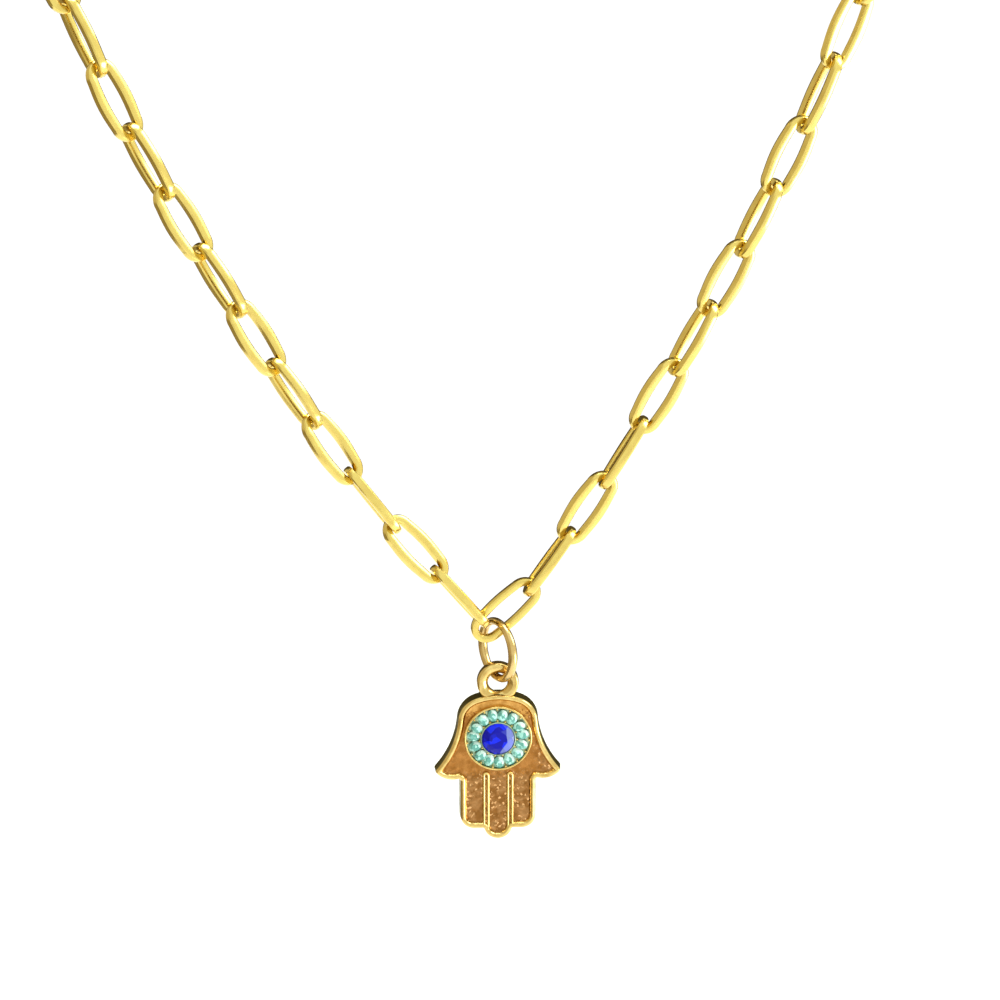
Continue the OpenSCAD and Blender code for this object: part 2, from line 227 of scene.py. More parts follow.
# %% Cast mottling
def build_cast_mottling():
    """Coarse bright and dark patches, sharper than noise, as on a rough cast ground."""
    group, given, out = new_group(
        "cast mottling", {"Scale": 2200.0, "Contrast": 0.5},
        {"Height": "NodeSocketFloat", "Mask": "NodeSocketFloat"},
    )
    place = add(group, "ShaderNodeTexCoord")
    cells = add(group, "ShaderNodeTexVoronoi", feature="SMOOTH_F1")
    drift = add(group, "ShaderNodeTexNoise", Detail=5.0, Roughness=0.6)
    both = add(group, "ShaderNodeMath", operation="MULTIPLY_ADD")
    both.inputs[1].default_value = 0.5
    low = add(group, "ShaderNodeMath", operation="SUBTRACT")
    low.inputs[0].default_value = 0.9
    sharper = mapped(group, both.outputs[0], high=0.95)
    link = group.links.new
    link(place.outputs["Object"], cells.inputs["Vector"])
    link(place.outputs["Object"], drift.inputs["Vector"])
    link(given.outputs["Scale"], cells.inputs["Scale"])
    link(given.outputs["Scale"], drift.inputs["Scale"])
    link(cells.outputs["Distance"], both.inputs[0])
    link(drift.outputs["Fac"], both.inputs[2])
    link(given.outputs["Contrast"], low.inputs[1])
    link(low.outputs[0], sharper.inputs["From Min"])
    link(both.outputs[0], out.inputs["Height"])
    link(sharper.outputs[0], out.inputs["Mask"])
    return group


cast_mottling = build_cast_mottling()
print("group", cast_mottling.name)

# %% Speckled casting
def build_speckled_casting():
    """The mottling with bright specks on it, each a grain that stands up, its flash painted in as
    a lighter tone.
    """
    group, given, out = new_group(
        "speckled casting painted glints", {"Scale": 1500.0, "Contrast": 0.3, "Speck Scale": 5200.0},
        {"Height": "NodeSocketFloat", "Mask": "NodeSocketFloat"},
    )
    place = add(group, "ShaderNodeTexCoord")
    mottling = use_group(group, cast_mottling)
    cells = add(group, "ShaderNodeTexVoronoi", feature="F1")
    chance = add(group, "ShaderNodeSeparateColor")
    lit = mapped(group, chance.outputs[0], 0.87, 0.95)
    soft = add(group, "ShaderNodeMath", operation="MULTIPLY")
    soft.inputs[1].default_value = 0.32
    mask = add(group, "ShaderNodeMath", operation="MAXIMUM")
    height = add(group, "ShaderNodeMath", operation="ADD")
    link = group.links.new
    link(given.outputs["Scale"], mottling.inputs["Scale"])
    link(given.outputs["Contrast"], mottling.inputs["Contrast"])
    link(place.outputs["Object"], cells.inputs["Vector"])
    link(given.outputs["Speck Scale"], cells.inputs["Scale"])
    link(cells.outputs["Color"], chance.inputs[0])
    link(mottling.outputs["Mask"], soft.inputs[0])
    link(soft.outputs[0], mask.inputs[0])
    link(lit.outputs["Result"], mask.inputs[1])
    link(mottling.outputs["Height"], height.inputs[0])
    link(lit.outputs["Result"], height.inputs[1])
    link(mask.outputs[0], out.inputs["Mask"])
    link(height.outputs[0], out.inputs["Height"])
    return group


speckled_glint_casting = build_speckled_casting()
print("group", speckled_glint_casting.name)

# %% [markdown]
# A cut stone looks broken into light and dark patches, because its back facets throw light
# about inside it. A pattern of flat cells, each with its own brightness, stands for them.

# %% Inner facets
def build_inner_facets():
    """Flat cells, of which a larger share stays dark as Share grows."""
    group, given, out = new_group(
        "inner facets", {"Scale": 2500.0, "Share": 0.5}, {"Mask": "NodeSocketFloat"},
    )
    place = add(group, "ShaderNodeTexCoord")
    cells = add(group, "ShaderNodeTexVoronoi", feature="F1", Randomness=0.9)
    bright = add(group, "ShaderNodeSeparateColor")
    light = mapped(group, bright.outputs[0])
    high = add(group, "ShaderNodeMath", operation="ADD")
    high.inputs[1].default_value = 0.35
    link = group.links.new
    link(place.outputs["Object"], cells.inputs["Vector"])
    link(given.outputs["Scale"], cells.inputs["Scale"])
    link(cells.outputs["Color"], bright.inputs[0])
    link(given.outputs["Share"], light.inputs["From Min"])
    link(given.outputs["Share"], high.inputs[0])
    link(high.outputs[0], light.inputs["From Max"])
    link(light.outputs["Result"], out.inputs["Mask"])
    return group


inner_facets = build_inner_facets()
print("group", inner_facets.name)

# %% [markdown]
# ## Gold finishes
#
# All the metal is gold plate over the same base, but each piece shows its own colour: the
# chain is a strong yellow, the jump ring a paler champagne, the hand's rim a pale bright
# gold, and its sunk ground a rough coppery one. One function builds them from a light and a
# deep tone, which the grain mixes.

# %% Metal
def metal(name, light, deep, rough, rough_spread, bump, effect=None, **values):
    """A plated metal whose tone and gloss change with a shared surface effect.

    Its roughness runs from rough + rough_spread on the deep tone to rough on the light one.
    The bump's depth is in metres.
    """
    material, tree, shader = new_material(name)
    shader.inputs["Metallic"].default_value = 1.0
    surface = use_group(tree, effect or fine_grain, **values)
    tone = blend(tree, surface.outputs["Mask"], (*deep, 1), (*light, 1))
    gloss = mapped(tree, surface.outputs["Mask"], to=(rough + rough_spread, rough))
    relief = add(tree, "ShaderNodeBump", Distance=bump, Strength=0.6)
    link = tree.links.new
    link(surface.outputs["Height"], relief.inputs["Height"])
    link(tone, shader.inputs["Base Color"])
    link(gloss.outputs[0], shader.inputs["Roughness"])
    link(relief.outputs["Normal"], shader.inputs["Normal"])
    return material


chain_gold = metal("chain gold", (0.74, 0.575, 0.17), (0.68, 0.505, 0.14), 0.17, 0.05, 1.2e-6)
ring_gold = metal("ring gold", (0.68, 0.49, 0.21), (0.55, 0.37, 0.14), 0.16, 0.08, 6e-6)
rim_gold = metal("rim gold", (0.78, 0.585, 0.235), (0.56, 0.375, 0.12), 0.10, 0.09, 1e-5)
palm_gold = metal(
    "palm ground", (0.48, 0.215, 0.06), (0.33, 0.135, 0.03), 0.2, 0.12, 3e-5,
    cast_mottling, Scale=1500.0, Contrast=0.3,
)
# Painted light: a lighter copy of the palm's tone, for the ground near the crown.
crown_lit_gold = metal(
    "crown ground painted light", (0.76, 0.42, 0.125), (0.52, 0.25, 0.06), 0.2, 0.12, 3e-5,
    cast_mottling, Scale=1500.0, Contrast=0.3,
)
# Painted glints: the specks take the light tone. The deep tone is darker than the palm's.
finger_glint_gold = metal(
    "finger ground painted glints", (0.74, 0.42, 0.19), (0.255, 0.109, 0.028), 0.18, 0.14, 7e-5,
    speckled_glint_casting,
)
side_gold = metal("side wall", (0.27, 0.22, 0.055), (0.12, 0.1, 0.02), 0.26, 0.12, 2e-5)
back_gold = metal("plain back", (0.50, 0.36, 0.13), (0.38, 0.26, 0.08), 0.42, 0.1, 2e-5)
# Painted shade, tinted with a painted aqua reflection of the stones, for the bezel's inside.
seat_shade_gold = metal("stone seat painted shade", (0.50, 0.62, 0.44), (0.26, 0.38, 0.27), 0.3, 0.12, 3e-5)
print("metals", [m.name for m in bpy.data.materials])

# %% [markdown]
# ## Stones
#
# The stones are coloured glass, cut flat on top. Each has a deep and a bright body tone,
# mixed in patches that are painted reflections of the back facets, and a painted pale glint
# on the facets that lean towards one side, where those throw the light of the bright room
# back out. A slow cloudiness in the gloss keeps them from looking like plastic.

# %% Glass
def stone_glass(name, deep, bright, glint, glint_way, glint_from, cell_scale, share, ior):
    """Coloured glass with painted inner-facet patches, and a painted glint where its surface leans
    along glint_way.
    """
    material, tree, shader = new_material(name)
    shader.inputs["Transmission Weight"].default_value = 0.2
    shader.inputs["IOR"].default_value = ior
    facets = use_group(tree, inner_facets, Scale=cell_scale, Share=share)
    clouds = use_group(tree, fine_grain, Scale=700.0, Strength=0.2)
    tone = blend(tree, facets.outputs["Mask"], (*deep, 1), (*bright, 1))
    place = add(tree, "ShaderNodeTexCoord")
    # Painted glint: the colour turns pale where the surface leans along glint_way.
    lean = add(tree, "ShaderNodeVectorMath", operation="DOT_PRODUCT")
    lean.inputs[1].default_value = glint_way
    flash = mapped(
        tree, lean.outputs["Value"], glint_from, glint_from + 0.2, to=(0.0, 0.7),
        interpolation_type="SMOOTHSTEP",
    )
    lit = blend(tree, flash.outputs["Result"], tone, (*glint, 1))
    gloss = mapped(tree, clouds.outputs["Mask"], to=(0.03, 0.09))
    link = tree.links.new
    link(place.outputs["Normal"], lean.inputs[0])
    link(lit, shader.inputs["Base Color"])
    link(gloss.outputs[0], shader.inputs["Roughness"])
    return material


# Painted reflections: a pale violet glint on the blue stone's right, white ones on the aqua
# stones' upper right.
centre_glass = stone_glass(
    "blue glass", deep=(0.001, 0.002, 0.4), bright=(0.003, 0.02, 1.0), glint=(0.25, 0.31, 0.60),
    glint_way=(1.0, 0, -0.1), glint_from=0.14, cell_scale=1400.0, share=0.5, ior=1.3,
)
halo_glass = stone_glass(
    "aqua glass", deep=(0.12, 0.42, 0.37), bright=(0.5, 0.95, 0.88), glint=(0.85, 1.0, 0.97),
    glint_way=(0.7, 0, 0.7), glint_from=0.2, cell_scale=3400.0, share=0.4, ior=1.6,
)
print("stones", centre_glass.name, halo_glass.name)

# %% [markdown]
# ## The chain's route
#
# A chain has no springiness: it hangs in one smooth curve, and each link lies along the
# chord between two points of it. The route repeats the part's own points. It is walked in
# equal steps, one pitch per link, so the links hook into each other all the way round.

# %% Route
LINK_L, LINK_W, WIRE, SLACK = 8.1, 3.4, 0.75, 0.2
CARRIER_SLOPE, CARRIER_TURN, HANG_ANGLE, HOOK_ANGLE = 43.4, 6, -45, 135
CHAIN_ROUTE = [
    (8.7, 0, 12.9), (15.3, 0, 23.8), (21.4, 0, 35), (26.9, 0, 46.3), (31.9, 0, 58),
    (36.7, 1.8, 70), (42.2, 7.8, 80.2), (48.6, 18, 88.2), (54, 33, 95), (56, 50, 100.5),
    (53, 67, 105), (45, 82, 108.5), (31, 93, 110.5), (14, 98, 111.5),
    (0, 99, 112),
    (-14, 98, 111.5), (-31, 93, 110.5), (-46, 82, 108.5), (-55, 67, 105), (-59, 50, 100.5),
    (-58, 33, 95), (-53.8, 18, 88.6), (-48, 7.6, 80.5), (-42.5, 1.6, 69.8),
    (-37.6, 0, 58.3), (-32.2, 0, 46.8), (-25.8, 0, 35.3), (-19.2, 0, 24.4), (-11.6, 0, 13.3),
    (-5.5, 0, 6.2),
]


def on_circle(radius, degrees):
    """A point on a circle round the origin, seen from the front."""
    a = math.radians(degrees)
    return Vector((radius * math.cos(a), 0, radius * math.sin(a)))


def smooth(a, b, c, d, t):
    """A point between b and c on a curve that runs through a, b, c and d."""
    return (2 * b + (c - a) * t + (2 * a - 5 * b + 4 * c - d) * t**2
            + (3 * b - a - 3 * c + d) * t**3) / 2


END_R = (LINK_W - WIRE) / 2
PITCH_MAX = LINK_L - 2 * WIRE - SLACK
carrier_way = on_circle(1, CARRIER_SLOPE)
carrier_arc = -on_circle(END_R, HANG_ANGLE)
carrier_middle = carrier_arc + (LINK_L - LINK_W) / 2 * carrier_way
route_start = carrier_middle + PITCH_MAX / 2 * carrier_way
route_end = carrier_arc + on_circle(END_R - (WIRE + SLACK) / 2, HOOK_ANGLE)

stops = [route_start, *map(Vector, CHAIN_ROUTE), route_end]
padded = [2 * stops[0] - stops[1], *stops, 2 * stops[-1] - stops[-2]]
CURVE_STEPS = 14
curve = [
    smooth(*padded[i:i + 4], k / CURVE_STEPS)
    for i in range(len(stops) - 1) for k in range(CURVE_STEPS)
]
curve.append(route_end)
lengths = [0.0]
for before, after in pairwise(curve):
    lengths.append(lengths[-1] + (after - before).length)
PITCHES = 1 + 2 * math.ceil((lengths[-1] / PITCH_MAX - 1) / 2)
STEP = lengths[-1] / PITCHES
CLASP_PITCHES = 2
RIGHT_LINKS = (PITCHES - CLASP_PITCHES) // 2
LEFT_LINKS = PITCHES - CLASP_PITCHES - RIGHT_LINKS


def along(s):
    """The point of the route at length s."""
    i = max(k for k in range(len(lengths) - 1) if lengths[k] <= s)
    return curve[i].lerp(curve[i + 1], (s - lengths[i]) / (lengths[i + 1] - lengths[i]))


hooks = [along(k * STEP) for k in range(PITCHES)] + [route_end]
print("chain", round(lengths[-1], 1), "mm,", PITCHES, "pitches of", round(STEP, 3), "mm")

# %% [markdown]
# ## The links
#
# Each link is a long loop of square wire with worn edges: two round ends and two sides. The
# ends stay slim where the links hook into each other and are pinched in a little. From there
# the wire grows fuller and the sides bow out, which gives the loop its slightly swollen look.
# The link that carries the jump ring swells less, so the ring can swing past it.

# %% One link
SIDE_SWELL, INNER_SWELL, FACE_SWELL, BOW, END_PINCH = 0.07, 0.15, 0.17, 0.06, 0.13
SIDE_START, INNER_START = 0.6, 0.7  # the share of the swell where a side begins
SECTION_POINTS, SOFTNESS = 20, 3.4


def soft_square(points=SECTION_POINTS, power=SOFTNESS):
    """A unit square whose corners are worn round, between a circle and a square."""
    ring = []
    for i in range(points):
        c, s = math.cos(2 * math.pi * i / points), math.sin(2 * math.pi * i / points)
        size = 0.5 / (abs(c)**power + abs(s)**power)**(1 / power)
        ring.append((size * c, size * s))
    return ring


def link_mesh(fullness=1.0, end_steps=18, side_steps=12):
    """One link, its length along X."""
    end_c, section, stations = (LINK_L - LINK_W) / 2, soft_square(), []
    swells = SIDE_SWELL, INNER_SWELL, FACE_SWELL
    side, inner_side, face_side = (fullness * swell for swell in swells)

    def station(x, y, way, outer, inner, face):
        ring = []
        for u, v in section:
            width = WIRE + 2 * (outer if u > 0 else inner)
            ring.append((x + way[0] * u * width, y + way[1] * u * width, v * (WIRE + face)))
        stations.append(ring)

    for flip in (1, -1):
        for i in range(end_steps):
            a = math.radians(-90 + 180 * i / end_steps)
            way, share = (flip * math.cos(a), flip * math.sin(a)), math.sin(a)**2
            station(flip * end_c + END_R * way[0], (END_R - END_PINCH) * way[1], way,
                    SIDE_START * side * share, INNER_START * inner_side * share,
                    face_side * share)
        for i in range(side_steps):
            t = i / side_steps
            full = math.sin(math.pi * t)
            reach = END_R - END_PINCH + (END_PINCH + BOW * fullness) * full
            station(flip * end_c * (1 - 2 * t), flip * reach, (0, flip),
                    side * (SIDE_START + (1 - SIDE_START) * full),
                    inner_side * (INNER_START + (1 - INNER_START) * full), face_side)
    return loft(stations, closed=True)


def between(a, b, turn):
    """Stands a piece that lies along X between two points, turned about its own length."""
    way = b - a
    return (Matrix.Scale(MM, 4) @ Matrix.Translation((a + b) / 2 - NAPE)
            @ Matrix.Rotation(math.atan2(way.y, way.x), 4, "Z")
            @ Matrix.Rotation(math.acos(way.z / way.length), 4, "Y")
            @ Matrix.Rotation(math.radians(turn + 90), 4, "Z")
            @ Matrix.Rotation(-math.pi / 2, 4, "Y"))


CARRIER_FULLNESS = 0.25
one_link, carrier_link = link_mesh(), link_mesh(fullness=CARRIER_FULLNESS)
print("link", len(one_link[1]), "faces")

# %% Both arms
RIGHT_BROAD, RIGHT_FIRST, LEFT_BROAD, LEFT_FIRST, FIRST_FEW = 17, 88, -38, 75, 4


def arm_turn(k, broad, first):
    """Broad and edge-on links take turns. Past the first few they lie square to each other."""
    if k % 2:
        return broad
    return first if k < FIRST_FEW else broad + 90


def right_turn(k):
    return arm_turn(k, RIGHT_BROAD, RIGHT_FIRST)


def left_turn(k):
    return arm_turn(k, LEFT_BROAD, LEFT_FIRST)


carrier_place = between(carrier_middle - carrier_way, carrier_middle + carrier_way, CARRIER_TURN)
right_arm = [moved(carrier_link, carrier_place)]
right_arm += [
    moved(one_link, between(hooks[k], hooks[k + 1], right_turn(k))) for k in range(RIGHT_LINKS)
]
left_arm = [
    moved(one_link, between(hooks[PITCHES - k - 1], hooks[PITCHES - k], left_turn(k)))
    for k in range(LEFT_LINKS)
]
make_piece("links_right", join(*right_arm), chain_gold, "chain", ["chain_right"])
make_piece("links_left", join(*left_arm), chain_gold, "chain", ["chain_left"])

# %% [markdown]
# ## Round pieces
#
# The clasp's barrel, the bail and the bezel are turned shapes: a short profile carried round
# an axis. One lathe makes them all. The jump ring and the clasp's eyes are wire bent round,
# which may be thicker at the sides.

# %% Lathe
NEAR_AXIS = 0.01


def turned(profile, steps):
    """Rings through points (radius, height) carried round Z."""
    turns = [2 * math.pi * i / steps for i in range(steps)]
    return [[(r * math.cos(a), r * math.sin(a), z) for a in turns] for r, z in profile]


def lathe(profile, steps=96):
    """A turned shape. A profile that starts away from the axis closes on itself."""
    return loft(turned(profile, steps), closed=profile[0][0] > NEAR_AXIS)


def wire_ring(radius, wire, sides=24, steps=96, swell=0.0):
    """A round wire bent into a ring, thicker by swell on both sides along X."""
    turns, rings = [2 * math.pi * k / sides for k in range(sides)], []
    for i in range(steps):
        a = 2 * math.pi * i / steps
        thick = (wire + swell * math.cos(a)**2) / 2
        section = [(radius + thick * math.cos(b), thick * math.sin(b)) for b in turns]
        rings.append([(r * math.cos(a), r * math.sin(a), z) for r, z in section])
    return loft(rings, closed=True)


# %% Clasp
CLASP_D, CLASP_BEVEL, CLASP_GROOVE, EYELET_D, EYELET_WIRE = 3.2, 0.6, 0.12, 2.7, 0.6
clasp_a, clasp_b = hooks[RIGHT_LINKS], hooks[RIGHT_LINKS + CLASP_PITCHES]
eyelet_r = (EYELET_D - EYELET_WIRE) / 2
eyelet_at = (clasp_b - clasp_a).length / 2 - eyelet_r + (EYELET_WIRE + SLACK) / 2
barrel, barrel_r = eyelet_at - eyelet_r, CLASP_D / 2
bevel_r, groove_r = barrel_r - CLASP_BEVEL, barrel_r - CLASP_GROOVE
barrel_profile = [(0.001, -barrel), (bevel_r, -barrel)]
barrel_profile += [
    (bevel_r + CLASP_BEVEL * math.sin(a), -barrel + CLASP_BEVEL * (1 - math.cos(a)))
    for a in (math.radians(d) for d in (15, 30, 45, 60, 75, 90))
]
barrel_profile += [(barrel_r, -0.5), (groove_r, -0.42), (groove_r, -0.3), (barrel_r, -0.22)]
barrel_profile += [(radius, -height) for radius, height in reversed(barrel_profile)]


def eyelet(end, turn):
    """The eye at one end of the barrel, set square to the link it holds."""
    place = between(clasp_a, clasp_b, turn + 90) @ Matrix.Translation((end * eyelet_at, 0, 0))
    return moved(wire_ring(eyelet_r, EYELET_WIRE, sides=16, steps=48), place)


lying = between(clasp_a, clasp_b, 0) @ Matrix.Rotation(math.pi / 2, 4, "Y")
make_piece("clasp_barrel", join(
    moved(lathe(barrel_profile, 48), lying),
    eyelet(-1, right_turn(RIGHT_LINKS - 1)),
    eyelet(1, left_turn(LEFT_LINKS - 1)),
), chain_gold, "chain", ["clasp"])

# %% Jump ring
RING_D, RING_WIRE, RING_TURN, RING_GAP, RING_SWELL = 6.35, 0.75, 62, 0.13, 0.14
ring_r = (RING_D - RING_WIRE) / 2
wire_slope = math.radians(90 + HANG_ANGLE)
across = math.sin(math.radians(RING_TURN)) * math.cos(wire_slope)
slant = across / math.hypot(math.sin(wire_slope), across)
ring_rise = (WIRE / 2 + RING_WIRE / 2 + RING_GAP) / slant
ring_middle = ring_rise - ring_r
ring_low = ring_middle - ring_r
hang = Matrix.Scale(MM, 4) @ Matrix.Translation(-NAPE)
make_piece("jump_ring_wire", moved(
    wire_ring(ring_r, RING_WIRE, swell=RING_SWELL),
    hang @ Matrix.Translation((0, 0, ring_middle))
    @ Matrix.Rotation(math.radians(-RING_TURN), 4, "Z") @ Matrix.Rotation(math.pi / 2, 4, "X"),
), ring_gold, "ring", ["jump_ring"])

# %% [markdown]
# ## The outline of the hand
#
# The hand is the same left and right. Half of its outline is a chain of arcs: crown,
# shoulder, a hollow flare, the sharp thumb tip, the thumb's underside, the crook, the
# finger's corner, the notch and the middle fingertip. Drawing the outline in by a distance
# only changes the arcs' radii, so the rim keeps an even width.

# %% Outline
CROWN_RISE, CROWN_R, CROWN_SWEEP, SHOULDER_R, FLARE_R = 4.4, 6.2, 21, 2.5, 9.0
THUMB_REACH, THUMB_DROP, THUMB_LOW, THUMB_R, THUMB_ROUND = 6.1, 3.38, 4.26, 2.14, 0.25
FINGERS_REACH, SIDE_TIP, MIDDLE_TIP = 3.62, 9.35, 10.45
MIDDLE_R, FINGER_ROUND, CROOK_ROUND = 1.36, 1.3, 0.2


def meet(a, ra, b, rb):
    """Where two circles cross, on the left of the way from a to b."""
    gap = b - a
    d = gap.length
    u = gap / d
    x = (ra**2 - rb**2 + d**2) / (2 * d)
    return a + x * u + math.sqrt(ra**2 - x**2) * Vector((-u.y, u.x))


def bearing(start, end):
    """The direction from one point to another, in degrees."""
    return math.degrees(math.atan2(end.y - start.y, end.x - start.x))


def arc(centre, radius, start, end, steps, joined=True):
    """Points along an arc. One that carries on from the arc before leaves out its first."""
    kept = range(1 if joined else 0, steps + 1)
    turns = [math.radians(start + (end - start) * i / steps) for i in kept]
    return [(centre.x + radius * math.cos(a), centre.y + radius * math.sin(a)) for a in turns]


sweep = math.radians(CROWN_SWEEP)
crown_c = Vector((0, CROWN_RISE - CROWN_R))
shoulder_c = crown_c + (CROWN_R - SHOULDER_R) * Vector((math.sin(sweep), math.cos(sweep)))
thumb_tip = Vector((THUMB_REACH, -THUMB_DROP))
flare_c = meet(shoulder_c, SHOULDER_R + FLARE_R, thumb_tip, FLARE_R)
thumb_y = THUMB_R - THUMB_LOW
thumb_c = Vector((THUMB_REACH - math.sqrt(THUMB_R**2 - (-THUMB_DROP - thumb_y)**2), thumb_y))
crook_x = FINGERS_REACH + CROOK_ROUND
crook_drop = math.sqrt((THUMB_R + CROOK_ROUND)**2 - (crook_x - thumb_c.x)**2)
crook_c = Vector((crook_x, thumb_c.y - crook_drop))
corner_c = Vector((FINGERS_REACH - FINGER_ROUND, FINGER_ROUND - SIDE_TIP))
middle_c = Vector((0, MIDDLE_R - MIDDLE_TIP))
notch_y = -SIDE_TIP - CROOK_ROUND
notch_c = Vector((math.sqrt((MIDDLE_R + CROOK_ROUND)**2 - (notch_y - middle_c.y)**2), notch_y))


def outline(inset):
    """The hand's outline drawn in by a distance, anticlockwise from the crown."""
    tip_r = max(THUMB_ROUND - inset, 0.05)
    tip_c = meet(flare_c, FLARE_R + inset + tip_r, thumb_c, THUMB_R - inset - tip_r)
    turn = bearing(shoulder_c, flare_c)
    tip_end = bearing(thumb_c, tip_c)
    half = arc(crown_c, CROWN_R - inset, 90, 90 - CROWN_SWEEP, 10, False)
    half += arc(shoulder_c, SHOULDER_R - inset, 90 - CROWN_SWEEP, turn, 16)
    half += arc(flare_c, FLARE_R + inset, turn + 180, bearing(flare_c, tip_c) + 360, 18)
    half += arc(tip_c, tip_r, bearing(tip_c, flare_c), tip_end, 6)
    half += arc(thumb_c, THUMB_R - inset, tip_end, bearing(thumb_c, crook_c), 16)
    half += arc(crook_c, CROOK_ROUND + inset, bearing(crook_c, thumb_c), 180, 7)
    half += arc(corner_c, FINGER_ROUND - inset, 0, -90, 12, False)
    half += arc(notch_c, CROOK_ROUND + inset, 90, bearing(notch_c, middle_c), 7, False)
    half += arc(middle_c, MIDDLE_R - inset, bearing(middle_c, notch_c), -90, 14)
    return [(-x, y) for x, y in half] + half[-2:0:-1]


print("outline", len(outline(0)), "points")

# %% [markdown]
# ## The cast plate
#
# The plate is lofted through the drawn-in outlines: a softened back edge, the flared side
# wall, the round raised rim and its slope down to the sunk ground. The side wall gets a
# much darker gold, and the flat back a satin one.

# %% Plate
HAND_T, RIM_W, DEPTH, WALL_FLARE, BACK_BEVEL, RIM_STEPS = 1.6, 0.62, 0.37, 0.1, 0.15, 4
BAIL_R, BORE_R, BAIL_GAP, BAIL_RISE, BACK_FACING = 2.0, 0.95, 0.13, 5.55, 0.9
CREST = HAND_T / 2
GROUND = CREST - DEPTH
RIM_SECTION = [(0, 0.4), (0.15, 0.82), (0.4, 1), (0.65, 0.86), (0.88, 0.36), (1, 0)]
eye_middle = ring_low + RING_WIRE / 2 + BAIL_GAP - BORE_R - BAIL_RISE
on_hand = hang @ Matrix.Translation((0, 0, eye_middle)) @ Matrix.Rotation(math.pi / 2, 4, "X")


def rim_rows():
    """The rim's section with extra points between its corners: distance in, height."""
    knots = [Vector((x, y)) for x, y in RIM_SECTION]
    knots = [2 * knots[0] - knots[1], *knots, 2 * knots[-1] - knots[-2]]
    fine = [
        smooth(*knots[i:i + 4], k / RIM_STEPS)
        for i in range(len(knots) - 3) for k in range(RIM_STEPS)
    ]
    return [(p.x * RIM_W, GROUND + min(p.y, 1) * DEPTH) for p in fine]


back_rows = [
    (BACK_BEVEL, -CREST), (BACK_BEVEL - WALL_FLARE, -CREST), (0.08 - WALL_FLARE, 0.02 - CREST),
    (0.02 - WALL_FLARE, 0.07 - CREST), (-WALL_FLARE, BACK_BEVEL - CREST), (-0.01, GROUND + 0.1),
]
rows = back_rows + rim_rows() + [(RIM_W, GROUND - 0.01), (RIM_W + 0.02, GROUND - 0.1)]
plate_rings = [[(x, y, z) for x, y in outline(inset)] for inset, z in rows]


def hand_piece(name, part, material, crease=30):
    """A piece of the casting, given on the hand's own plane with the eye at its middle."""
    return make_piece(
        name, moved(part, on_hand), material, "pendant", ["hamsa_hand"], crease,
    )


plate_piece = hand_piece("hand_plate", loft(plate_rings, hub=(0, -THUMB_DROP / 2)), rim_gold)
plate_piece.data.materials.append(side_gold)
plate_piece.data.materials.append(back_gold)
wall_rows = range(back_rows.index((-WALL_FLARE, BACK_BEVEL - CREST)), len(back_rows))
ring_size = len(plate_rings[0])
for face in plate_piece.data.polygons:
    if face.index // ring_size in wall_rows:
        face.material_index = 1
    elif face.normal.y > BACK_FACING:
        face.material_index = 2
print("rim rows", len(rows))

# %% [markdown]
# ## The sunk ground
#
# The ground inside the rim is rough, most of all down the fingers. Bump alone looks flat
# from the side, so the ground is a fine sheet whose points are raised and sunk by noise. Its
# edge is tucked under the rim's slope. The fingers and the right thumb get the speckled
# casting, with painted glints on its grains and a darker deep tone, and the crown a lighter
# tone of painted light, with ragged edges against the palm.

# %% Ground sheet
CELL, TUCK, EYE_HOLE_R, SHEET_T = 0.11, 0.86, 3.1, 0.14
FINGERS_COARSE, FINGERS_RAMP, THUMBS_COARSE, THUMBS_RAMP = -2.6, 1.2, 3.6, 0.6
BROAD_WAVES, SMALL_WAVES, PALM_RELIEF, BROAD_RELIEF, SMALL_RELIEF = 2.1, 4.4, 0.015, 0.03, 0.05
FINGERS_FROM, THUMB_FROM, THUMB_LEAN, CROWN_LIGHT_FROM, RAGGED, RAGGED_WAVES = -3.8, 3.7, 9, 2.3, 1.2, 9


def inside(x, y, loop):
    """Whether a point lies inside a closed outline."""
    hit = False
    for (ax, ay), (bx, by) in pairwise([*loop, loop[0]]):
        if (ay > y) != (by > y) and x < ax + (y - ay) / (by - ay) * (bx - ax):
            hit = not hit
    return hit


def ramp(value, width):
    """0 below zero, 1 past the width and a straight rise between."""
    return min(max(value / width, 0), 1)


def ground_height(x, y):
    """Gentle over the palm, coarse over the fingers and thumbs."""
    coarse = ramp(FINGERS_COARSE - y, FINGERS_RAMP)
    coarse = max(coarse, ramp(abs(x) - THUMBS_COARSE, THUMBS_RAMP))
    broad = noise.noise(Vector((x * BROAD_WAVES, y * BROAD_WAVES, 4)))
    small = noise.noise(Vector((x * SMALL_WAVES, y * SMALL_WAVES, 9)))
    return GROUND + PALM_RELIEF * broad + coarse * (BROAD_RELIEF * broad + SMALL_RELIEF * small)


def ground_sheet():
    """Every cell between the eye and the rim, with a rough top, a flat back and closed sides."""
    edge, cells = outline(RIM_W * TUCK), []
    reach, low, high = (round(size / CELL) for size in (THUMB_REACH, MIDDLE_TIP, CROWN_RISE))
    for i in range(-reach, reach):
        for j in range(-low, high):
            x, y = (i + 0.5) * CELL, (j + 0.5) * CELL
            if math.hypot(x, y) > EYE_HOLE_R and inside(x, y, edge):
                cells.append((i, j))
    index, points, faces, sides = {}, [], [], {}

    def corner(i, j, top):
        if (i, j, top) not in index:
            index[i, j, top] = len(points)
            x, y = i * CELL, j * CELL
            points.append((x, y, ground_height(x, y) if top else GROUND - SHEET_T))
        return index[i, j, top]

    for i, j in cells:
        ring = [(i, j), (i + 1, j), (i + 1, j + 1), (i, j + 1)]
        faces.append([corner(a, b, True) for a, b in ring])
        faces.append([corner(a, b, False) for a, b in reversed(ring)])
        for a, b in pairwise([*ring, ring[0]]):
            sides[a, b] = True
    for a, b in [(a, b) for a, b in sides if (b, a) not in sides]:
        faces.append([corner(*a, True), corner(*a, False), corner(*b, False), corner(*b, True)])
    return points, faces


